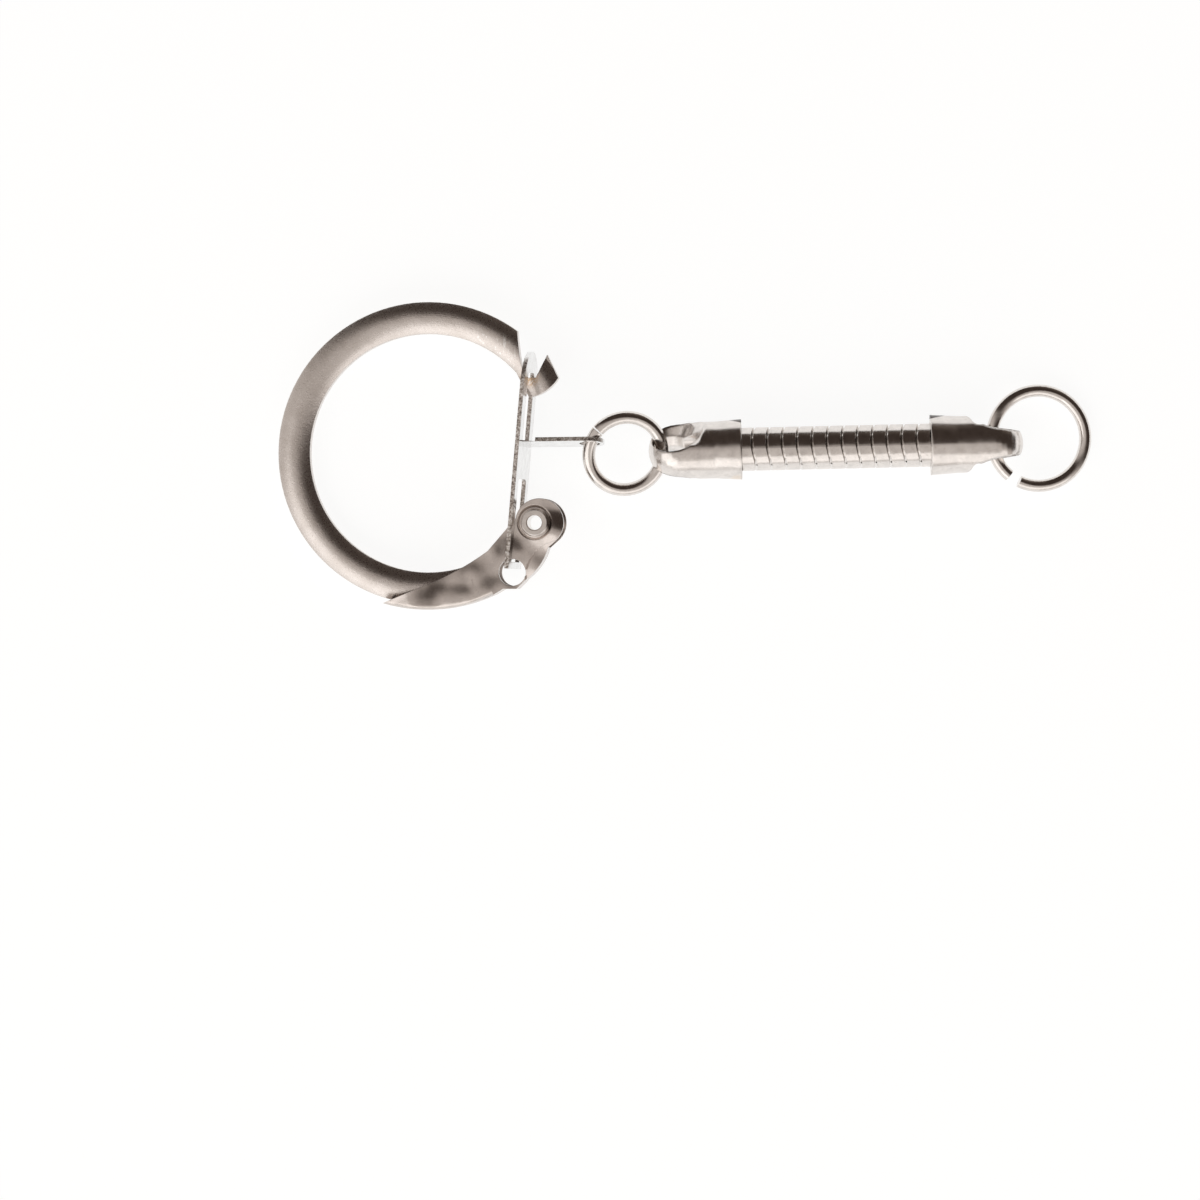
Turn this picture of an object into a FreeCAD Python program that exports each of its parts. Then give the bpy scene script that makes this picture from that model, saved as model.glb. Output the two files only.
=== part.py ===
import FreeCAD, Part
import math
import os
import Sketcher
from FreeCAD import Placement, Rotation, Vector

# A snap key ring. A C-shaped spring ring carries a cam lever on a tubular rivet. The lever draws
# a flat latch link over the ring's hook. A tab on the link carries a jump ring, a capped length
# of snake chain and a second jump ring.
#
# The origin is the ring's centre, in the middle of its thickness. +X runs along the chain and
# +Z points up from the table that the key ring lies on. Lengths are in millimetres and angles
# in degrees.

DIMENSIONS = {
    # key ring
    "ring_outer_diameter": 24.7,
    "ring_band_width": 2.6,
    "ring_thickness": 1.5,
    "ring_edge_thickness": 1.05,
    "pivot_depth": 1.85,
    "pivot_angle": -32.8,
    "ring_eye_radius": 1.62,
    "neck_angle": -57.5,
    "bite_angle": -54.6,
    "bite_radius": 2.0,
    "hook_cut_angle": 53.7,
    "notch_depth": 1.9,
    "notch_angle": 36.0,
    "notch_floor_width": 0.82,
    "notch_wall_rise": 0.45,
    "notch_wall_spread": 0.24,
    "notch_mouth_width": 0.92,
    "notch_mouth_rise": 1.81,
    "hook_tip_reach": 1.3,
    "hook_tip_rise": 1.86,
    "hook_end_reach": 2.22,
    "hook_end_rise": -0.02,
    "hook_belly_reach": 1.16,
    "hook_belly_drop": 1.14,
    "hook_heel_reach": -0.2,
    "hook_heel_drop": 1.6,
    "hook_inner_angle": 42.0,
    # tubular rivet
    "rivet_bore_radius": 0.6,
    "rivet_tube_radius": 0.92,
    "rivet_lip_radius": 1.14,
    "rivet_lip_height": 0.26,
    "rivet_clearance": 0.05,
    # lever
    "lever_sheet": 0.4,
    "lever_width": 2.8,
    "spine_clearance": 0.05,
    "lever_tip_angle": -106.6,
    "lever_waist_depth": 1.65,
    "lever_waist_angle": -89.5,
    "lever_belly_depth": 2.5,
    "lever_belly_angle": -74.1,
    "lever_shoulder_depth": 2.92,
    "lever_shoulder_angle": -58.0,
    "lever_end_radius": 1.98,
    "lever_end_shift": 0.4,
    "lever_back_angle": -48.0,
    "lever_bend_radius": 0.36,
    "lever_hole_arm": 4.453,
    "lever_hole_angle": 245.74,
    "lever_hole_radius": 1.1,
    "lever_dish_radius": 1.45,
    "lever_dish_depth": 0.2,
    "hole_rim": 0.25,
    "hole_floor_left": 0.75,
    "hole_floor_right": 0.35,
    "strip_low_angle": -20.0,
    "strip_angle": 56.4,
    "strip_length": 3.0,
    "strip_bulge": 0.24,
    "strip_overlap": 0.15,
    "cheek_cut_radius": 3.2,
    "cheek_cut_angle": 12.0,
    "spine_end_angle": -64.8,
    # latch link
    "link_sheet": 0.34,
    "link_width": 5.2,
    "link_offset": 0.13,
    "link_lean": 5.6,
    "crossbar_start": 0.28,
    "crossbar_height": 0.56,
    "near_window_width": 3.1,
    "near_window_length": 6.8,
    "bridge_height": 3.0,
    "far_window_width": 2.5,
    "window_corner": 0.42,
    "latch_bar_height": 1.75,
    "latch_seat_gap": 0.4,
    "tab_reach": 5.52,
    "tab_width": 2.4,
    "tab_hole_radius": 0.84,
    "tab_turn": 5.4,
    "tab_twist": -10.0,
    # jump rings
    "near_ring_radius": 3.05,
    "near_ring_wire": 0.535,
    "near_ring_start": 161.0,
    "near_ring_play": 0.12,
    "near_ring_roll": 16.0,
    "near_ring_end": 4.0,
    "near_ring_cut": 141.0,
    "far_ring_radius": 3.9,
    "far_ring_wire": 0.5,
    "far_ring_cut": 238.5,
    "near_ring_cut_width": 0.1,
    "far_ring_cut_width": 0.95,
    # end caps
    "cap_radius": 2.33,
    "cap_rim_radius": 2.475,
    "cap_length": 7.6,
    "cap_eye_place": 2.0,
    "cap_eye_radius": 1.5,
    "cap_eye_flat": 0.5,
    "cap_eye_flare": 0.6,
    "cap_strap_width": 3.2,
    "cap_shoulder_start": 1.4,
    "cap_shoulder_length": 1.7,
    "cap_bore_depth": 2.15,
    "cap_throat_radius": 1.25,
    "cap_flare_length": 2.2,
    "cap_roll": 34.0,
    "cap_wire_gap": 0.1,
    "cap_chain_overlap": 1.44,
    # snake chain
    "chain_radius": 1.775,
    "chain_pitch": 1.22,
    "chain_links": 15,
    "chain_gap": 0.2,
    "chain_wave_rise": 0.38,
    "chain_wave_turn": -21.0,
    "chain_yaw": 1.3,
    "chain_fit": 0.075,
    "shell_wall": 0.28,
    "shell_lip_radius": 1.38,
    "shell_lip_depth": 0.38,
    "spigot_radius": 1.28,
    "spigot_bore_radius": 0.95,
    "spigot_clearance": 0.14,
    "flange_radius": 1.43,
    "flange_width": 0.08,
    "web_width": 0.15,
    # how the far jump ring hangs in its cap
    "far_ring_start": 187.0,
    "far_ring_hang": 0.85,
    "far_ring_back": 0.5,
}

doc = FreeCAD.newDocument("snap_key_ring")
sheet = doc.addObject("Spreadsheet::Sheet", "Sizes")
for row, (alias, number) in enumerate(DIMENSIONS.items(), start=1):
    sheet.set(f"A{row}", alias)
    sheet.set(f"B{row}", str(number))
    sheet.setAlias(f"B{row}", alias)
doc.recompute()


def size(alias):
    """A driving dimension, read back from the sheet."""
    return float(sheet.get(alias))


def polar(radius, angle, centre=Vector()):
    """The point at a radius and an angle in degrees about a centre, in the XY plane."""
    turn = math.radians(angle)
    return centre + Vector(radius * math.cos(turn), radius * math.sin(turn), 0)


def direction(start, end):
    """The angle in degrees of the way from one point to another."""
    return math.degrees(math.atan2(end.y - start.y, end.x - start.x))


def solid(kind, name, place=Placement(), **expressions):
    """A Part primitive whose properties follow expressions over the sheet."""
    primitive = doc.addObject("Part::" + kind, name)
    for key, expression in expressions.items():
        primitive.setExpression(key, expression)
    primitive.Placement = place
    return primitive


def cut(name, base, tool):
    result = doc.addObject("Part::Cut", name)
    result.Base = base
    result.Tool = tool
    return result


def fused(name, *shapes):
    result = doc.addObject("Part::MultiFuse", name)
    result.Shapes = list(shapes)
    result.Refine = True
    return result


def common(name, *shapes):
    result = doc.addObject("Part::MultiCommon", name)
    result.Shapes = list(shapes)
    return result


def through_arc(start, middle, end):
    return Part.Arc(start, middle, end).toShape()


def straight(start, end):
    return Part.LineSegment(start, end).toShape()


def stamping(name, edges, low, high):
    """A prism on an outline of lines and arcs in the XY plane, between two heights."""
    blank = doc.addObject("Part::Feature", name)
    face = Part.Face(Part.Wire(edges))
    face.translate(Vector(0, 0, low))
    blank.Shape = face.extrude(Vector(0, 0, high - low))
    return blank


def post(name, centre, radius, height, low):
    """An upright cylinder. Its radius and height are expressions over the sheet."""
    place = Placement(Vector(centre.x, centre.y, low), Rotation())
    return solid("Cylinder", name, place, Radius=radius, Height=height)


def turned(name, corners, axis):
    """A body of revolution. The half section's corners are pairs of expressions in the XZ plane."""
    body = doc.addObject("PartDesign::Body", name)
    sketch = body.newObject("Sketcher::SketchObject", name + "_section")
    plane = next(f for f in body.Origin.OriginFeatures if f.Role == "XZ_Plane")
    sketch.AttachmentSupport = [(plane, "")]
    sketch.MapMode = "FlatFace"
    points = [Vector(*(float(sketch.evalExpression(c)) for c in pair), 0) for pair in corners]
    count = len(points)
    for i in range(count):
        sketch.addGeometry(Part.LineSegment(points[i], points[(i + 1) % count]))
    for i in range(count):
        sketch.addConstraint(Sketcher.Constraint("Coincident", i, 2, (i + 1) % count, 1))
    for i, pair in enumerate(corners):
        for kind, expression, number in zip(("DistanceX", "DistanceY"), pair, points[i]):
            index = sketch.addConstraint(Sketcher.Constraint(kind, -1, 1, i, 1, number))
            sketch.setExpression(f"Constraints[{index}]", expression)
    revolution = body.newObject("PartDesign::Revolution", name + "_turn")
    revolution.Profile = sketch
    revolution.ReferenceAxis = (sketch, [axis])
    revolution.Angle = 360
    return body


def rounded(name, base, radius, wanted):
    """Rounds the edges of a shape that a test picks."""
    doc.recompute()
    picked = [i for i, edge in enumerate(base.Shape.Edges, start=1) if wanted(edge)]
    fillet = doc.addObject("Part::Fillet", name)
    fillet.Base = base
    fillet.Edges = [(i, radius, radius) for i in picked]
    return fillet


# Places that several pieces share. The closed latch runs from the lever's hole to the notch.
RING_RADIUS = size("ring_outer_diameter") / 2
INNER_RADIUS = RING_RADIUS - size("ring_band_width")
PIVOT = polar(RING_RADIUS - size("pivot_depth"), size("pivot_angle"))
HOLE = polar(size("lever_hole_arm"), size("lever_hole_angle"), PIVOT)
NOTCH = polar(RING_RADIUS - size("notch_depth"), size("notch_angle"))
SEAT = NOTCH + Vector(-size("link_sheet") / 2, size("latch_seat_gap"), 0)
LINK_ANGLE = direction(HOLE, SEAT) - math.degrees(size("link_offset") / HOLE.distanceToPoint(SEAT))
LINK_LENGTH = HOLE.distanceToPoint(SEAT)

# The clasp leans: the ring's far edge and the link's lower edge both touch the table.
LEAN_REACH = size("link_width") / 2 * math.cos(math.radians(size("link_lean")))
LEAN = math.degrees(math.atan((LEAN_REACH - size("ring_thickness") / 2) / (RING_RADIUS + HOLE.x)))
TABLE = -RING_RADIUS * math.sin(math.radians(LEAN)) - size("ring_thickness") / 2 * math.cos(
    math.radians(LEAN)
)
CLASP = Placement(Vector(), Rotation(Vector(0, 1, 0), -LEAN))

LINK = CLASP.multiply(
    Placement(HOLE, Rotation(Vector(0, 0, 1), LINK_ANGLE - 90)).multiply(
        Placement(Vector(), Rotation(Vector(0, 1, 0), -size("link_lean")))
    )
)
TAB_HEIGHT = (
    size("crossbar_start")
    + size("crossbar_height")
    + size("near_window_length")
    + size("bridge_height")
)


def ring_outline():
    """The C-shaped stamping: bite and eye at the lever's end, notch and hook at the other."""
    bite = polar(RING_RADIUS, size("bite_angle"))
    bite_half = math.degrees(2 * math.asin(size("bite_radius") / (2 * RING_RADIUS)))
    bite_low = polar(RING_RADIUS, size("bite_angle") - bite_half)
    bite_high = polar(size("bite_radius"), 80, bite)
    bite_middle = polar(
        size("bite_radius"), (direction(bite, bite_low) % 360 + 80) / 2, bite
    )
    eye = [polar(size("ring_eye_radius"), angle, PIVOT) for angle in (-95, 45, 190)]
    neck = polar(INNER_RADIUS, size("neck_angle"))
    half_floor = size("notch_floor_width") / 2
    left_floor = NOTCH - Vector(half_floor, 0, 0)
    right_floor = NOTCH + Vector(half_floor, 0, 0)
    left_wall = left_floor + Vector(-size("notch_wall_spread"), size("notch_wall_rise"), 0)
    right_wall = right_floor + Vector(size("notch_wall_spread"), size("notch_wall_rise"), 0)
    mouth = NOTCH + Vector(-size("notch_mouth_width"), size("notch_mouth_rise"), 0)
    corner = polar(RING_RADIUS, size("hook_cut_angle"))
    tip = NOTCH + Vector(size("hook_tip_reach"), size("hook_tip_rise"), 0)
    end = NOTCH + Vector(size("hook_end_reach"), size("hook_end_rise"), 0)
    belly = NOTCH + Vector(size("hook_belly_reach"), -size("hook_belly_drop"), 0)
    heel = NOTCH + Vector(size("hook_heel_reach"), -size("hook_heel_drop"), 0)
    inner = polar(INNER_RADIUS, size("hook_inner_angle"))
    return [
        through_arc(corner, polar(RING_RADIUS, 180), bite_low),
        through_arc(bite_low, bite_middle, bite_high),
        straight(bite_high, eye[0]),
        through_arc(*eye),
        straight(eye[2], neck),
        through_arc(neck, polar(INNER_RADIUS, 180), inner),
        straight(inner, heel),
        through_arc(heel, belly, end),
        straight(end, tip),
        straight(tip, right_wall),
        straight(right_wall, right_floor),
        straight(right_floor, left_floor),
        straight(left_floor, left_wall),
        straight(left_wall, mouth),
        straight(mouth, corner),
    ]


def make_key_ring():
    """The stamped outline, shaped to a domed band by a turned form, with the rivet's hole."""
    half = size("ring_thickness") / 2
    plate = stamping("ring_plate", ring_outline(), -half, half)
    middle = "(Sizes.ring_outer_diameter - Sizes.ring_band_width) / 2"
    flank = "Sizes.ring_band_width / 2"
    edge = "Sizes.ring_edge_thickness - Sizes.ring_thickness / 2"
    crown = "Sizes.ring_thickness / 2"
    rise = "(Sizes.ring_thickness - Sizes.ring_edge_thickness)"
    dome = [("0", f"-{crown}"), (f"{middle} + 2 * {flank}", f"-{crown}")]
    dome.append((f"{middle} + 2 * {flank}", edge))
    for step in range(8, -9, -1):
        share = step / 8
        dome.append((f"{middle} + {flank} * {share}", f"{edge} + {rise} * {1 - share * share}"))
    dome.append(("0", edge))
    form = turned("ring_form", dome, "V_Axis")
    blank = common("ring_blank", plate, form)
    hole = post(
        "ring_rivet_hole",
        PIVOT,
        "Sizes.rivet_tube_radius + Sizes.rivet_clearance",
        "Sizes.ring_thickness + 2",
        -half - 1,
    )
    ring = cut("key_ring", blank, hole)
    ring.Placement = CLASP
    return ring


def make_rivet():
    """A tube with a rolled lip at each end, seated in the lever's dishes."""
    seat = "(Sizes.lever_width / 2 - Sizes.lever_dish_depth + 0.02)"
    top = f"({seat} + Sizes.rivet_lip_height)"
    roll = "Sizes.rivet_lip_height / 2"
    bore, tube, lip = (f"Sizes.rivet_{part}_radius" for part in ("bore", "tube", "lip"))
    upper = [
        (tube, seat),
        (lip, seat),
        (lip, f"{top} - {roll}"),
        (f"{lip} - {roll}", top),
        (f"{bore} + {roll} / 2", top),
        (bore, f"{top} - {roll}"),
    ]
    lower = [(radius, f"-({height})") for radius, height in reversed(upper)]
    rivet = turned("pivot_rivet", upper + lower, "V_Axis")
    rivet.Placement = CLASP.multiply(Placement(PIVOT, Rotation()))
    return rivet


def lever_places():
    """Corners of the lever's outline, shared by its blank and by the slot between its cheeks."""
    inner = RING_RADIUS + size("spine_clearance")
    outer = inner + size("lever_sheet")
    end = PIVOT + Vector(size("lever_end_shift"), 0, 0)
    rim = size("lever_hole_radius") + size("hole_rim")
    back = polar(size("lever_end_radius"), size("lever_back_angle"), end)
    strip_low = polar(rim, size("strip_low_angle"), HOLE)
    run = polar(size("strip_length"), size("strip_angle"))
    bulge = polar(size("strip_bulge"), size("strip_angle") - 90)
    strip = (strip_low, strip_low + run / 2 + bulge, strip_low + run)
    return inner, outer, end, rim, back, strip


def lever_outline():
    """Tip, waist and shoulder beside the ring, round end at the rivet, strip, hole rim, spine."""
    inner, outer, end, rim, back, strip = lever_places()
    tip = polar(outer, size("lever_tip_angle"))
    waist = polar(RING_RADIUS - size("lever_waist_depth"), size("lever_waist_angle"))
    belly = polar(RING_RADIUS - size("lever_belly_depth"), size("lever_belly_angle"))
    shoulder = polar(RING_RADIUS - size("lever_shoulder_depth"), size("lever_shoulder_angle"))
    start = polar(size("lever_end_radius"), 170, end)
    over = polar(size("lever_end_radius"), 60, end)
    floor_right = HOLE + Vector(size("hole_floor_right"), -rim, 0)
    floor_left = HOLE + Vector(-size("hole_floor_left"), -rim, 0)
    spine_end = polar(outer, size("spine_end_angle"))
    spine_middle = polar(outer, (size("lever_tip_angle") + size("spine_end_angle")) / 2)
    return [
        straight(tip, waist),
        through_arc(waist, belly, shoulder),
        straight(shoulder, start),
        through_arc(start, over, back),
        straight(back, strip[2]),
        through_arc(*reversed(strip)),
        straight(strip[0], floor_right),
        straight(floor_right, floor_left),
        straight(floor_left, spine_end),
        through_arc(spine_end, spine_middle, tip),
    ]


def slot_outline():
    """The gap between the cheeks beyond the ring's edge, inside the hole's rim and the strip."""
    inner, outer, end, rim, back, strip = lever_places()
    inward = polar(size("lever_sheet"), size("strip_angle") + 90)
    floor = HOLE.y - size("lever_hole_radius")
    strip_inside = [point + inward for point in strip]
    before = [
        polar(inner, size("spine_end_angle")),
        Vector(HOLE.x - size("hole_floor_left"), floor, 0),
        Vector(HOLE.x + size("hole_floor_right"), floor, 0),
        strip_inside[0],
    ]
    after = [
        strip_inside[2],
        strip[2] - inward * 2,
        polar(2 * size("lever_end_radius"), 0, end),
        polar(2 * size("lever_end_radius"), 90, end),
        polar(INNER_RADIUS, size("spine_end_angle")),
        before[0],
    ]
    edges = [straight(p, q) for p, q in zip(before, before[1:])]
    edges.append(through_arc(*strip_inside))
    return edges + [straight(p, q) for p, q in zip(after, after[1:])]


def cheek_relief():
    """Both cheeks stop at a concave edge beside the strip. The strip stays, a little lower."""
    back, strip = lever_places()[-2:]
    start = polar(size("lever_hole_radius"), size("cheek_cut_angle"), HOLE)
    chord = back - start
    deep = start + chord / 2
    radius = size("cheek_cut_radius")
    sag = radius - math.sqrt(radius**2 - (chord.Length / 2) ** 2)
    across = Vector(-chord.y, chord.x, 0).normalize() * sag
    reach = polar(4 * size("lever_sheet"), size("strip_angle") - 90)
    low = strip[0] + polar(size("lever_sheet"), size("strip_angle") + 180)
    run = [back, strip[2] + reach, low + reach, low, start]
    edges = [through_arc(start, deep + across, back)]
    edges += [straight(p, q) for p, q in zip(run, run[1:])]
    half = size("lever_width") / 2
    kept = half - size("lever_sheet") + size("strip_overlap")
    upper = stamping("cheek_relief_upper", edges, kept, half + 1)
    lower = stamping("cheek_relief_lower", edges, -half - 1, -kept)
    return upper, lower


def bend_tools():
    """Two tools that round the spine's long edges, each a ring limited to the spine's run."""
    outer = "(Sizes.ring_outer_diameter / 2 + Sizes.spine_clearance + Sizes.lever_sheet)"
    half, bend = "Sizes.lever_width / 2", "Sizes.lever_bend_radius"
    section = [(f"{outer} - {bend}", f"{half} + {bend}")]
    for step in range(7):
        turn = step * math.pi / 12
        across = f"{outer} - {bend} * {round(1 - math.sin(turn), 4)}"
        section.append((across, f"{half} - {bend} * {round(1 - math.cos(turn), 4)}"))
    section += [
        (f"{outer} + {bend}", f"{half} - {bend}"),
        (f"{outer} + {bend}", f"{half} + {bend}"),
    ]
    reach = 2 * RING_RADIUS
    limits = (size("lever_tip_angle") - 5, -90, size("spine_end_angle"))
    corners = [Vector()] + [polar(reach, angle) for angle in limits]
    tools = []
    for side in (-1, 1):
        ring = turned("lever_bend_ring", section, "V_Axis")
        ring.Placement = Placement(Vector(), Rotation(Vector(1, 0, 0), 0 if side > 0 else 180))
        run = [straight(a, b) for a, b in zip(corners, corners[1:] + corners[:1])]
        sector = stamping("lever_bend_sector", run, -size("lever_width"), size("lever_width"))
        tools.append(common("lever_bend", ring, sector))
    return tools


def make_lever():
    """A folded channel: two cheeks, a spine round the ring's edge and a round hole at the link."""
    half = size("lever_width") / 2
    gap = half - size("lever_sheet")
    blank = stamping("lever_blank", lever_outline(), -half, half)
    clear = "(Sizes.ring_outer_diameter / 2 + Sizes.spine_clearance)"
    width = "(Sizes.lever_width - 2 * Sizes.lever_sheet)"
    channel = post("lever_channel", Vector(), clear, width, -gap)
    slot = stamping("lever_slot", slot_outline(), -gap, gap)
    rivet_fit = "Sizes.rivet_tube_radius + Sizes.rivet_clearance"
    tools = [
        channel,
        slot,
        post("lever_rivet_hole", PIVOT, rivet_fit, "Sizes.lever_width + 2", -half - 1),
        post("lever_hole", HOLE, "Sizes.lever_hole_radius", "Sizes.lever_width + 2", -half - 1),
    ]
    for side in (-1, 1):
        turn = Rotation(Vector(1, 0, 0), 0 if side > 0 else 180)
        low = Vector(PIVOT.x, PIVOT.y, side * (half - size("lever_dish_depth")))
        dish = solid("Cone", "lever_dish", Placement(low, turn))
        dish.setExpression("Radius1", "Sizes.lever_dish_radius - Sizes.lever_dish_depth")
        dish.setExpression("Radius2", "Sizes.lever_dish_radius + Sizes.lever_dish_depth")
        dish.setExpression("Height", "2 * Sizes.lever_dish_depth")
        tools.append(dish)
    lever = cut("lever", blank, fused("lever_tools", *tools, *bend_tools(), *cheek_relief()))
    lever.Placement = CLASP
    return lever


def tab_rotation():
    """The tab's turn in the link's side view, then a slight twist about its own length."""
    turn = Rotation(Vector(0, 0, 1), size("tab_turn"))
    return turn.multiply(Rotation(Vector(1, 0, 0), size("tab_twist")))


def make_latch_link():
    """A stamped strip along local Y, thin along X, with two windows and a bent-up tab."""
    thick = size("link_sheet")
    middle = -size("link_offset")
    start = size("crossbar_start")
    length = LINK_LENGTH + size("latch_bar_height")
    radius = "Sizes.link_width / 2"
    upright = Rotation(Vector(0, 1, 0), 90)
    back = middle - thick / 2

    plate = solid("Box", "link_plate", Placement(Vector(back, start, -size("link_width") / 2), Rotation()))
    plate.setExpression("Length", "Sizes.link_sheet")
    plate.setExpression("Height", "Sizes.link_width")
    plate.Width = length - size("link_width") / 2 - start
    nose_place = Placement(Vector(back, length - size("link_width") / 2, 0), upright)
    nose = solid("Cylinder", "link_nose", nose_place, Radius=radius, Height="Sizes.link_sheet")
    tab_base = Vector(middle, TAB_HEIGHT, 0)
    tab_place = Placement(tab_base, tab_rotation())
    arm = solid("Box", "link_arm")
    arm.Length = size("tab_reach")
    arm.setExpression("Width", "Sizes.link_sheet")
    arm.setExpression("Height", "Sizes.tab_width")
    arm.Placement = tab_place.multiply(Placement(Vector(0, -thick / 2, -size("tab_width") / 2), Rotation()))
    lying = Rotation(Vector(1, 0, 0), -90)
    eye_place = tab_place.multiply(Placement(Vector(size("tab_reach"), -thick / 2, 0), lying))
    eye = solid("Cylinder", "link_eye", eye_place, Radius="Sizes.tab_width / 2", Height="Sizes.link_sheet")
    strip = fused("link_strip", plate, nose, arm, eye)

    near_low = start + size("crossbar_height")
    far_low = TAB_HEIGHT + thick / 2
    windows = []
    for name, width, low, high in (
        ("near_window", size("near_window_width"), near_low, near_low + size("near_window_length")),
        ("far_window", size("far_window_width"), far_low, LINK_LENGTH),
    ):
        window = solid("Box", name, Placement(Vector(back - 1, low, -width / 2), Rotation()))
        window.Length = thick + 2
        window.Width = high - low
        window.Height = width
        corner = size("window_corner")

        def upright_corner(edge, low=low):
            return edge.Vertexes[0].X != edge.Vertexes[-1].X and abs(edge.CenterOfMass.y - low) > 1

        windows.append(rounded(name + "_rounded", window, corner, upright_corner))
    tab_hole_place = tab_place.multiply(Placement(Vector(size("tab_reach"), -thick, 0), lying))
    tab_hole = solid("Cylinder", "tab_hole", tab_hole_place, Radius="Sizes.tab_hole_radius")
    tab_hole.setExpression("Height", "2 * Sizes.link_sheet")
    link = cut("latch_link", strip, fused("link_openings", tab_hole, *windows))
    link.Placement = LINK
    return link


def split_ring(name, prefix, place):
    """A wire ring with a cut, about its own centre in its own XY plane."""
    radius, wire = f"Sizes.{prefix}_radius", f"Sizes.{prefix}_wire"
    open_angle = math.degrees(size(f"{prefix}_cut_width") / size(f"{prefix}_radius"))
    spin = Rotation(Vector(0, 0, 1), size(f"{prefix}_cut") + open_angle / 2)
    ring = solid("Torus", name, place.multiply(Placement(Vector(), spin)), Radius1=radius, Radius2=wire)
    ring.Angle3 = 360 - open_angle
    return ring


def make_cap(name, place):
    """A drawn cap along local X: pinched strap and eye at the origin, open rim for the chain."""
    radius, eye = "Sizes.cap_radius", "Sizes.cap_eye_place"
    rim_x = "(Sizes.cap_length - Sizes.cap_eye_place)"
    flare = "Sizes.cap_flare_length"
    section = [("-" + eye, "0")]
    for step in range(1, 9):
        turn = step * math.pi / 16
        along = f"-{eye} + {radius} * {round(1 - math.cos(turn), 4)}"
        section.append((along, f"{radius} * {round(math.sin(turn), 4)}"))
    section += [
        (f"{rim_x} - {flare}", radius),
        (rim_x, "Sizes.cap_rim_radius"),
        (rim_x, "0"),
    ]
    drawn = turned(name + "_drawn", section, "H_Axis")

    strap = size("cap_strap_width") / 2
    full = size("cap_rim_radius") + 0.5
    end = size("cap_eye_place") + 0.02
    shoulder = size("cap_shoulder_start")
    top = shoulder + size("cap_shoulder_length")
    body = size("cap_length") - end + 1
    half_way = Vector((shoulder + top) / 2, (strap + size("cap_radius")) / 2, 0)
    outline = []
    for side in (1, -1):
        narrow = Vector(shoulder, side * strap, 0)
        wide = Vector(top, side * size("cap_radius"), 0)
        centre_low = Vector(shoulder + 0.32 * (top - shoulder), side * (strap + 0.06), 0)
        middle = Vector(half_way.x, side * half_way.y, 0)
        centre_high = Vector(top - 0.32 * (top - shoulder), side * (size("cap_radius") - 0.06), 0)
        run = [
            straight(Vector(-end + strap, side * strap, 0), narrow),
            through_arc(narrow, centre_low, middle),
            through_arc(middle, centre_high, wide),
            straight(wide, Vector(top, side * full, 0)),
            straight(Vector(top, side * full, 0), Vector(body, side * full, 0)),
        ]
        outline += run
    outline.append(straight(Vector(body, full, 0), Vector(body, -full, 0)))
    nose = Vector(-end + strap, 0, 0)
    outline.append(through_arc(polar(strap, 90, nose), polar(strap, 180, nose), polar(strap, 270, nose)))
    ordered = Part.__sortEdges__(outline)
    plan = stamping(name + "_plan", ordered, -full, full)
    pinched = common(name + "_pinched", drawn, plan)

    along = Rotation(Vector(0, 1, 0), 90)
    bore_x = size("cap_length") - size("cap_eye_place") - size("cap_bore_depth")
    bore = solid("Cylinder", name + "_bore", Placement(Vector(bore_x, 0, 0), along))
    bore.setExpression("Radius", "Sizes.chain_radius + Sizes.chain_fit")
    bore.setExpression("Height", "Sizes.cap_bore_depth + 1")
    throat = solid("Cylinder", name + "_throat", Placement(Vector(0, 0, 0), along))
    throat.setExpression("Radius", "Sizes.cap_throat_radius")
    throat.Height = bore_x + 0.5
    flat, mouth = "Sizes.cap_eye_flat", "(Sizes.cap_eye_flat + Sizes.cap_rim_radius)"
    wide = "(Sizes.cap_eye_radius + Sizes.cap_rim_radius * Sizes.cap_eye_flare)"
    lip = [
        ("0", f"-{mouth}"),
        (wide, f"-{mouth}"),
        ("Sizes.cap_eye_radius", f"-{flat}"),
        ("Sizes.cap_eye_radius", flat),
        (wide, mouth),
        ("0", mouth),
    ]
    hole = turned(name + "_hole", lip, "V_Axis")
    hole.Placement = Placement(Vector(), Rotation(Vector(1, 0, 0), 90))
    cap = cut(name, pinched, fused(name + "_hollow", bore, throat, hole))
    cap.Placement = place
    return cap


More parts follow.
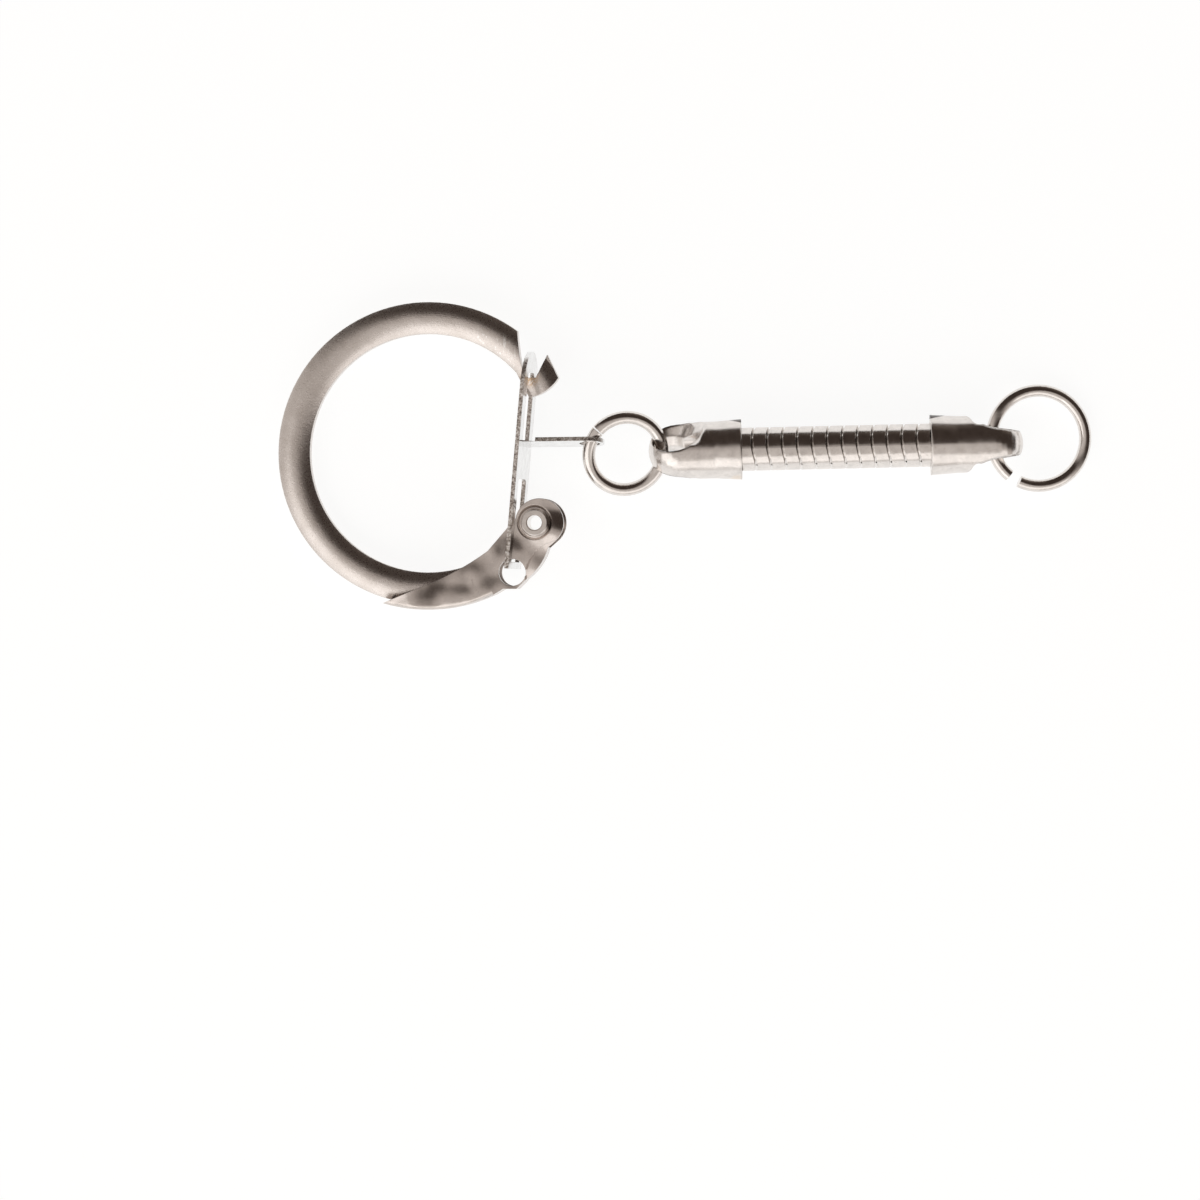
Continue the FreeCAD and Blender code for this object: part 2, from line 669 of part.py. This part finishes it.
def make_snake_link(name, place):
    """One chain shell along local X. Its wavy ends follow cylinders laid across the chain, and
    its flanged spigot turns inside the next shell's lip."""
    radius, pitch = size("chain_radius"), size("chain_pitch")
    rise, gap = size("chain_wave_rise"), size("chain_gap")
    wave = (radius * radius + rise * rise) / (2 * rise)
    crest = rise / 2
    outer, bore, lip = "Sizes.chain_radius", "(Sizes.chain_radius - Sizes.shell_wall)", "Sizes.shell_lip_radius"
    low, high = "-Sizes.chain_wave_rise", "(Sizes.chain_pitch + Sizes.chain_wave_rise)"
    flange_end = "(Sizes.shell_lip_depth + Sizes.spigot_clearance + Sizes.flange_width)"
    web = f"({flange_end} + Sizes.spigot_clearance)"
    web_end = f"({web} + Sizes.web_width)"
    shell = turned(
        name + "_shell",
        [
            (low, lip),
            ("Sizes.shell_lip_depth", lip),
            ("Sizes.shell_lip_depth", bore),
            (web, bore),
            (high, bore),
            (high, outer),
            (low, outer),
        ],
        "H_Axis",
    )
    spigot, hollow, flange = "Sizes.spigot_radius", "Sizes.spigot_bore_radius", "Sizes.flange_radius"
    flange_start = f"(Sizes.chain_pitch + Sizes.shell_lip_depth + Sizes.spigot_clearance)"
    core = turned(
        name + "_core",
        [
            (web, hollow),
            (f"Sizes.chain_pitch + {flange_end}", hollow),
            (f"Sizes.chain_pitch + {flange_end}", flange),
            (flange_start, flange),
            (flange_start, spigot),
            (web_end, spigot),
            (web_end, f"{bore} + 0.02"),
            (web, f"{bore} + 0.02"),
        ],
        "H_Axis",
    )
    turn = Rotation(Vector(1, 0, 0), size("chain_wave_turn"))
    across = Placement(Vector(0, 2 * radius, 0), Rotation(Vector(1, 0, 0), 90))
    ends = []
    for side, x in (("left", crest + gap / 2 - wave), ("right", pitch + crest - gap / 2 - wave)):
        end = solid("Cylinder", f"{name}_{side}", Placement(Vector(x, 0, 0), turn).multiply(across))
        end.Radius = wave
        end.Height = 4 * radius
        ends.append(end)
    kept = common(name + "_kept", shell, ends[1])
    wavy = cut(name + "_wavy", kept, ends[0])
    link = fused(name, wavy, core)
    link.Placement = place
    return link


def assemble():
    """Makes every piece at its place in the closed, lying key ring."""
    pieces = [make_key_ring(), make_rivet(), make_lever(), make_latch_link()]
    cap_axis = TABLE + size("cap_rim_radius")

    # The near jump ring runs through the tab's hole and slopes down to the first cap's eye.
    tab_place = Placement(Vector(-size("link_offset"), TAB_HEIGHT, 0), tab_rotation())
    tab_hole = LINK.multiply(tab_place).multVec(Vector(size("tab_reach") + size("near_ring_play"), 0, 0))
    roll = Rotation(Vector(1, 0, 0), size("near_ring_roll"))
    in_tab = roll.multVec(polar(size("near_ring_radius"), size("near_ring_start")))
    in_cap = roll.multVec(polar(size("near_ring_radius"), size("near_ring_end")))
    span = Vector(in_cap.x - in_tab.x, in_cap.z - in_tab.z, 0)
    fall = math.asin((tab_hole.z - cap_axis) / span.Length)
    slope = Rotation(Vector(0, 1, 0), math.degrees(fall + math.atan2(span.y, span.x)))
    centre = tab_hole - slope.multVec(in_tab)
    attitude = Placement(centre, slope.multiply(roll))
    pieces.append(split_ring("jump_ring_near", "near_ring", attitude))

    # The chain lies along the table. Its caps' rims touch the table.
    wire = centre + slope.multVec(in_cap)
    pull = size("cap_eye_radius") - size("near_ring_wire") - size("cap_wire_gap")
    yaw = Rotation(Vector(0, 0, 1), size("chain_yaw"))
    chain = Placement(wire + yaw.multVec(Vector(pull, 0, 0)), yaw)
    roll = Placement(Vector(), Rotation(Vector(1, 0, 0), size("cap_roll")))
    pieces.append(make_cap("end_cap_near", chain.multiply(roll)))
    reach = size("cap_length") - size("cap_eye_place") - size("cap_chain_overlap")
    count = round(size("chain_links"))
    for i in range(count):
        step = Placement(Vector(reach + i * size("chain_pitch"), 0, 0), Rotation())
        pieces.append(make_snake_link(f"snake_link_{i + 1:02d}", chain.multiply(step)))
    far_eye = 2 * reach + count * size("chain_pitch")
    turned_round = Placement(Vector(far_eye, 0, 0), Rotation(Vector(0, 0, 1), 180))
    pieces.append(make_cap("end_cap_far", chain.multiply(turned_round)))

    # The far jump ring hangs in its cap's eye and its other side rests on the table.
    start = polar(size("far_ring_radius"), size("far_ring_start"))
    hang = Vector(far_eye - size("far_ring_back"), 0, -size("far_ring_hang"))
    wire = chain.multVec(hang)
    drop = wire.z - size("far_ring_wire") - TABLE
    slope = Rotation(Vector(0, 1, 0), math.degrees(math.asin(drop / (size("far_ring_radius") - start.x))))
    attitude = Placement(wire - slope.multVec(start), slope)
    pieces.append(split_ring("jump_ring_far", "far_ring", attitude))
    return pieces


pieces = assemble()
doc.recompute()
for item in doc.Objects:
    if "Invalid" in item.State or "Error" in item.State:
        raise RuntimeError(f"{item.Name} did not recompute: {item.State}")
for piece in pieces:
    if piece.Shape.isNull() or not piece.Shape.isValid():
        raise RuntimeError(f"{piece.Label} has no valid shape")
os.makedirs("parts", exist_ok=True)
for piece in pieces:
    piece.Shape.exportStep(f"parts/{piece.Label}.step")
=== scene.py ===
import bpy
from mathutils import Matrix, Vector


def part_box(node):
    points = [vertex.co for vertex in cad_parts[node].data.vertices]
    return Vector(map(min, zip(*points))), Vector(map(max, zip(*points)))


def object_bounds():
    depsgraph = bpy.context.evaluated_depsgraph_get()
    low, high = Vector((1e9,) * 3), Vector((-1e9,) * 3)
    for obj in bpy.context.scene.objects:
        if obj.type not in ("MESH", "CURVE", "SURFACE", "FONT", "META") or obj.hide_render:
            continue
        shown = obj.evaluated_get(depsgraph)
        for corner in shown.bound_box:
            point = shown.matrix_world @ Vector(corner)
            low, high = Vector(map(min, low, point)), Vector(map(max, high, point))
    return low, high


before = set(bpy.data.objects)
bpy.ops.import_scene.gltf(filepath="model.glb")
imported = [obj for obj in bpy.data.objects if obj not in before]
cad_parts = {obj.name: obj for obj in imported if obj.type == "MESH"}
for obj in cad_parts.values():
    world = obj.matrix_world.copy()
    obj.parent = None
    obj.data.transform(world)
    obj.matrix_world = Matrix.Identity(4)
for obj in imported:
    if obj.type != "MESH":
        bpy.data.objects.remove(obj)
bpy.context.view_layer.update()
MM = 0.001

# Plate, its pits, the brass below it, and how dark the plate's clouds are beside it.
NICKEL = (0.82, 0.775, 0.74)
LEVER_NICKEL = (0.72, 0.66, 0.62)
PLATE_PIT = (0.4, 0.34, 0.29)
WORN_BRASS = (0.72, 0.52, 0.31)
NOTCH_BRASS = (0.52, 0.33, 0.16)
CLOUD_SHARE = 0.86

# Where the ring is rubbed beside its hook, and where the link has worn its notch.
RUBBED_AT = (6.2 * MM, 9.3 * MM, 1.1 * MM)
NOTCH_AT = (8.35 * MM, 6.2 * MM, 1.1 * MM)

# Shade at the seam along each cap's +Y side, painted near-black into the plate's colour. Its tip fades
# in over a share of its length.
SEAM_HEIGHT = 0.34 * MM
SEAM_LENGTH = 1.5 * MM
SEAM_SOFTNESS = 0.04 * MM
SEAM_TIP_SHARE = 0.08
SEAM_SHADE_COLOR = (0.05, 0.035, 0.03)

# The floor, and the side of the studio that is dark.
FLOOR_SIZE = 3.0
FLOOR_MIDDLE = (20 * MM, 0.0)
DARK_SIDE = Vector((0.5, 0.85, 0.0)).normalized()

# The camera stands over this point, and its picture takes in this width at the origin's height.
VIEW_CENTRE = (14.0 * MM, -12.0 * MM)
VIEW_HEIGHT = 600 * MM
VIEW_WIDTH = 98.1 * MM
SENSOR_MM = 36.0
NEAREST_SEEN = 10 * MM

# Blender's mix node has its two colours in these inputs, and their blend in this output.
MIX_COLORS = (6, 7)
MIX_RESULT = 2


class Tree:
    """Helpers for the node tree of a material or a world. A value is a number, a tuple or a socket."""

    def __init__(self, owner):
        owner.use_nodes = True
        self.nodes = owner.node_tree.nodes
        self.links = owner.node_tree.links

    def put(self, socket, value):
        """Links a socket to the value, or sets the socket to it."""
        if isinstance(value, bpy.types.NodeSocket):
            self.links.new(value, socket)
        else:
            socket.default_value = value

    def coordinates(self, kind):
        return self.nodes.new("ShaderNodeTexCoord").outputs[kind]

    def math(self, operation, *values):
        node = self.nodes.new("ShaderNodeMath")
        node.operation = operation
        for socket, value in zip(node.inputs, values):
            self.put(socket, value)
        return node.outputs[0]

    def line(self, value, slope, start):
        """The start plus the slope times the value."""
        return self.math("MULTIPLY_ADD", value, slope, start)

    def vector_number(self, operation, first, second):
        """The number that an operation on two vectors gives, such as their distance."""
        node = self.nodes.new("ShaderNodeVectorMath")
        node.operation = operation
        self.put(node.inputs[0], first)
        self.put(node.inputs[1], second)
        return node.outputs["Value"]

    def axis(self, vector, letter):
        """The X, Y or Z of a vector."""
        node = self.nodes.new("ShaderNodeSeparateXYZ")
        self.links.new(vector, node.inputs[0])
        return node.outputs[letter]

    def fade(self, value, low, high, start=0.0, end=1.0):
        """A smooth run from start to end while the value goes from low to high."""
        node = self.nodes.new("ShaderNodeMapRange")
        node.interpolation_type = "SMOOTHSTEP"
        self.put(node.inputs["Value"], value)
        limits = (("From Min", low), ("From Max", high), ("To Min", start), ("To Max", end))
        for name, number in limits:
            node.inputs[name].default_value = number
        return node.outputs[0]

    def ramp(self, value, *stops):
        """Runs through colours. A stop is a place from 0 to 1 and the colour there."""
        node = self.nodes.new("ShaderNodeValToRGB")
        self.put(node.inputs[0], value)
        elements = node.color_ramp.elements
        while len(elements) < len(stops):
            elements.new(0.5)
        for element, (place, color) in zip(elements, stops):
            element.position = place
            element.color = (*color, 1)
        return node.outputs["Color"]

    def mix(self, factor, under, over):
        """The colour under where the factor is 0, and the colour over where it is 1."""
        node = self.nodes.new("ShaderNodeMix")
        node.data_type = "RGBA"
        self.put(node.inputs[0], factor)
        for index, color in zip(MIX_COLORS, (under, over)):
            self.put(node.inputs[index], (*color, 1) if isinstance(color, tuple) else color)
        return node.outputs[MIX_RESULT]


class Metal(Tree):
    """A metal's node tree. Places are the piece's own, in metres, and at rest they are the frame's."""

    def __init__(self, name):
        self.material = bpy.data.materials.new(name)
        super().__init__(self.material)
        self.shader = self.nodes["Principled BSDF"]
        self.shader.inputs["Metallic"].default_value = 1.0
        self.places = self.coordinates("Object")

    def noise(self, size, detail, roughness, stretch=(1, 1, 1), shift=(0, 0, 0)):
        """Noise whose largest features are about as long as the size.
        A stretch below 1 lengthens them along that axis, and a shift takes another part of it."""
        mapping = self.nodes.new("ShaderNodeMapping")
        self.links.new(self.places, mapping.inputs["Vector"])
        mapping.inputs["Scale"].default_value = stretch
        mapping.inputs["Location"].default_value = shift
        node = self.nodes.new("ShaderNodeTexNoise")
        self.links.new(mapping.outputs[0], node.inputs["Vector"])
        node.inputs["Scale"].default_value = 1.0 / size
        node.inputs["Detail"].default_value = detail
        node.inputs["Roughness"].default_value = roughness
        return node.outputs["Fac"]

    def near(self, point, radius, soft, pattern):
        """The pattern inside a ball about a point, fading to 0 over a soft edge."""
        distance = self.vector_number("DISTANCE", self.places, point)
        ball = self.fade(distance, radius - soft, radius + soft, start=1.0, end=0.0)
        return self.math("MULTIPLY", ball, pattern)

    def finish(self, color, roughness, heights, edge):
        """Sets colour and roughness, and stacks bumps on edges that are rounded by a radius.
        Heights are pairs: a pattern, and how far it rises."""
        self.put(self.shader.inputs["Base Color"], color)
        self.put(self.shader.inputs["Roughness"], roughness)
        bevel = self.nodes.new("ShaderNodeBevel")
        bevel.samples = 6
        bevel.inputs["Radius"].default_value = edge
        normal = bevel.outputs[0]
        for height, distance in heights:
            bump = self.nodes.new("ShaderNodeBump")
            bump.inputs["Strength"].default_value = 1.0
            bump.inputs["Distance"].default_value = distance
            self.put(bump.inputs["Height"], height)
            self.links.new(normal, bump.inputs["Normal"])
            normal = bump.outputs[0]
        self.links.new(normal, self.shader.inputs["Normal"])
        return self.material


def ring_metal():
    """Satin nickel: grain, dark pits, hairlines rubbed beside the hook, brass worn in the notch."""
    shade, plate = (0.66, 0.605, 0.565), (0.77, 0.715, 0.68)
    pit, bright = (0.34, 0.28, 0.24), (0.95, 0.93, 0.91)
    metal = Metal("ring satin nickel")
    cloud = metal.noise(size=1.6 * MM, detail=4, roughness=0.6)
    grain = metal.noise(size=0.16 * MM, detail=3, roughness=0.7)
    speck = metal.noise(size=0.07 * MM, detail=2, roughness=0.6)
    hair = metal.noise(size=0.1 * MM, detail=2, roughness=0.5, stretch=(1, 0.06, 1))
    color = metal.ramp(cloud, (0.3, shade), (0.7, plate))
    color = metal.mix(metal.fade(speck, low=0.62, high=0.74), color, pit)
    hairlines = metal.fade(hair, low=0.6, high=0.68)
    rubbed = metal.near(RUBBED_AT, radius=2.4 * MM, soft=1.2 * MM, pattern=hairlines)
    color = metal.mix(rubbed, color, bright)
    worn_grain = metal.fade(grain, low=0.35, high=0.6)
    worn = metal.near(NOTCH_AT, radius=0.75 * MM, soft=0.4 * MM, pattern=worn_grain)
    color = metal.mix(worn, color, NOTCH_BRASS)
    roughness = metal.line(grain, slope=0.18, start=0.2)
    heights = [(cloud, 0.02 * MM), (grain, 0.012 * MM), (speck, 0.006 * MM)]
    return metal.finish(color, roughness, heights, edge=0.08 * MM)


def polished(name, wave, base, tint=NICKEL, swell=2.2 * MM, edge=0.05 * MM, wear=(), seam_shade=None):
    """Bright nickel plate: slow waves in the sheet, faint scratches and small pits.
    The wave is how high they are and the swell how long, and base is the least roughness.
    Wear is a list of places worn to brass, each with a radius and the softness of its edge.
    A seam shade is painted shade at the rim's seam, given as the tip's X, the rim's X and the Y of the
    side that it runs along."""
    metal = Metal(name)
    slow = metal.noise(size=swell, detail=0.4, roughness=0.4, shift=(0.01, 0.02, 0.03))
    cloud = metal.noise(size=0.7 * MM, detail=4, roughness=0.6)
    scratch = metal.noise(size=0.12 * MM, detail=3, roughness=0.6, stretch=(0.12, 1, 1))
    speck = metal.noise(size=0.09 * MM, detail=2, roughness=0.5)
    shade = tuple(channel * CLOUD_SHARE for channel in tint)
    color = metal.ramp(cloud, (0.3, shade), (0.65, tint))
    color = metal.mix(metal.fade(speck, low=0.66, high=0.74), color, PLATE_PIT)
    for point, radius, soft in wear:
        worn = metal.near(point, radius, soft, pattern=metal.fade(cloud, low=0.35, high=0.55))
        color = metal.mix(worn, color, WORN_BRASS)
    # Shade at the rim's seam, painted near-black into the colour along one side.
    if seam_shade:
        color = metal.mix(seam_shade_wedge(metal, *seam_shade), color, SEAM_SHADE_COLOR)
    roughness = metal.line(cloud, slope=0.14, start=base)
    heights = [(slow, wave), (scratch, 0.0015 * MM), (cloud, 0.002 * MM)]
    return metal.finish(color, roughness, heights, edge)


def seam_shade_wedge(metal, tip, rim, side):
    """1 in a wedge along a piece's +Y side, which widens from the tip's X to the rim's X. The seam's
    shade is painted here.
    """
    length = rim - tip
    along = metal.line(metal.axis(metal.places, "X"), slope=1 / length, start=-tip / length)
    brink = metal.line(along, slope=-SEAM_HEIGHT, start=side)
    beyond = metal.math("SUBTRACT", metal.axis(metal.places, "Y"), brink)
    inside = metal.fade(beyond, -SEAM_SOFTNESS, SEAM_SOFTNESS)
    return metal.math("MULTIPLY", inside, metal.fade(along, 0.0, SEAM_TIP_SHARE))


def link_metal():
    """Bright stamped faces. The sheared edges that face up or down are rough and grey-brown."""
    shade, plate = (0.76, 0.755, 0.75), (0.88, 0.88, 0.875)
    deep, middle, high = (0.13, 0.1, 0.085), (0.6, 0.54, 0.49), (0.97, 0.95, 0.93)
    metal = Metal("link stamped nickel")
    facing = metal.nodes.new("ShaderNodeNewGeometry").outputs["Normal"]
    upright = metal.math("ABSOLUTE", metal.axis(facing, "Z"))
    sheared = metal.fade(upright, low=0.5, high=0.8)
    cloud = metal.noise(size=0.8 * MM, detail=3, roughness=0.6)
    tear = metal.noise(size=0.24 * MM, detail=4, roughness=0.8, stretch=(1, 1, 0.5))
    stamped = metal.ramp(cloud, (0.3, shade), (0.7, plate))
    torn = metal.ramp(tear, (0.36, deep), (0.5, middle), (0.62, high))
    color = metal.mix(sheared, stamped, torn)
    roughness = metal.line(sheared, slope=0.3, start=0.14)
    torn_height = metal.math("MULTIPLY", tear, sheared)
    heights = [(cloud, 0.006 * MM), (torn_height, 0.05 * MM)]
    return metal.finish(color, roughness, heights, edge=0.04 * MM)


def lever_metal():
    """Polished plate in deep waves."""
    name = "lever polished nickel"
    return polished(name, wave=1.25 * MM, base=0.17, tint=LEVER_NICKEL, swell=3.2 * MM)


def cap_metal(name, seam_shade, wear=()):
    """Polished plate with well rounded edges, and shade painted near-black along the seam at the rim.
    """
    return polished(name, wave=0.05 * MM, base=0.13, edge=0.3 * MM, wear=wear, seam_shade=seam_shade)


def near_cap_metal():
    """The near cap has its rim at its +X end, and brass shows at its rim and its eye."""
    low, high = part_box("end_cap_near")
    at_rim = (high[0] - 0.3 * MM, low[1] + 0.8 * MM, 0.9 * MM)
    at_eye = (low[0] + 1.5 * MM, 0.5 * MM, 1.0 * MM)
    wear = [(at_rim, 0.7 * MM, 0.5 * MM), (at_eye, 0.9 * MM, 0.5 * MM)]
    # The seam's shade is painted along the +Y side, ending at the rim.
    return cap_metal("cap near nickel", seam_shade=(high[0] - SEAM_LENGTH, high[0], high[1]), wear=wear)


def far_cap_metal():
    """The far cap is turned round, so its rim is at its -X end."""
    low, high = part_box("end_cap_far")
    # The seam's shade is painted along the +Y side, ending at the rim.
    return cap_metal("cap far nickel", seam_shade=(low[0] + SEAM_LENGTH, low[0], high[1]))


def dress(node, material):
    """Gives a CAD node a material."""
    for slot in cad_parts[node].material_slots:
        slot.material = material


def dress_key_ring():
    """Gives every CAD node its metal."""
    dress("key_ring", ring_metal())
    dress("lever", lever_metal())
    dress("pivot_rivet", polished("rivet polished nickel", wave=0.01 * MM, base=0.1))
    dress("latch_link", link_metal())
    for node in ("jump_ring_near", "jump_ring_far"):
        dress(node, polished("wire " + node, wave=0.015 * MM, base=0.08))
    dress("end_cap_near", near_cap_metal())
    dress("end_cap_far", far_cap_metal())
    chain_metal = polished("chain nickel", wave=0.015 * MM, base=0.12)
    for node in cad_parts:
        if node.startswith("snake_link"):
            dress(node, chain_metal)


def lay_floor():
    """A white floor under the key ring. It gives off most of its white, so shadows stay faint."""
    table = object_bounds()[0][2]
    bpy.ops.mesh.primitive_plane_add(size=FLOOR_SIZE, location=(*FLOOR_MIDDLE, table))
    floor = bpy.context.object
    floor.name = "floor"
    paper = bpy.data.materials.new("white paper")
    paper.use_nodes = True
    looks = {
        "Base Color": (0.22, 0.22, 0.22, 1),
        "Emission Color": (1, 1, 0.995, 1),
        "Emission Strength": 0.89,
        "Roughness": 0.9,
        "Specular IOR Level": 0.0,
    }
    for name, value in looks.items():
        paper.node_tree.nodes["Principled BSDF"].inputs[name].default_value = value
    floor.data.materials.append(paper)


def build_studio():
    """What the metal reflects: bright towards -X and -Y, grey overhead, dark towards +X and +Y."""
    white, pale, grey = (0.95, 0.935, 0.915), (0.6, 0.56, 0.53), (0.5, 0.455, 0.425)
    dark, dim = (0.045, 0.033, 0.027), (0.16, 0.13, 0.11)
    world = bpy.data.worlds.new("studio")
    bpy.context.scene.world = world
    tree = Tree(world)
    toward_dark = tree.vector_number("DOT_PRODUCT", tree.coordinates("Generated"), DARK_SIDE)
    # From between -1 and 1 to the ramp's 0 to 1.
    place = tree.line(toward_dark, slope=0.5, start=0.5)
    bright_stops = ((0.0, white), (0.14, pale), (0.42, pale), (0.52, grey))
    dark_stops = ((0.62, dark), (0.9, dark), (1.0, dim))
    background = tree.nodes["Background"]
    tree.put(background.inputs["Color"], tree.ramp(place, *bright_stops, *dark_stops))
    background.inputs["Strength"].default_value = 1.0


def lamp(name, place, width, height, power):
    """A soft oblong lamp that faces the view's centre. Sizes are in metres, power in watts."""
    light = bpy.data.lights.new(name, "AREA")
    light.shape = "RECTANGLE"
    light.size, light.size_y = width, height
    light.energy = power
    lamp_object = bpy.data.objects.new(name, light)
    bpy.context.scene.collection.objects.link(lamp_object)
    lamp_object.location = place
    ahead = Vector((*VIEW_CENTRE, 0)) - Vector(place)
    lamp_object.rotation_euler = ahead.to_track_quat("-Z", "Y").to_euler()


def aim_camera():
    """Looks straight down, framed as the photograph, and shows colours as they are rendered."""
    camera_data = bpy.data.cameras.new("camera")
    camera = bpy.data.objects.new("camera", camera_data)
    bpy.context.scene.collection.objects.link(camera)
    camera.location = (*VIEW_CENTRE, VIEW_HEIGHT)
    camera_data.sensor_width = SENSOR_MM
    camera_data.lens = SENSOR_MM * VIEW_HEIGHT / VIEW_WIDTH
    camera_data.clip_start = NEAREST_SEEN
    bpy.context.scene.camera = camera
    bpy.context.scene.view_settings.view_transform = "Standard"


dress_key_ring()
lay_floor()
build_studio()
lamp("key lamp", place=(-0.35, -0.35, 0.42), width=0.7, height=0.5, power=0.75)
lamp("fill lamp", place=(0.2, -0.5, 0.3), width=0.7, height=0.4, power=0.5)
aim_camera()
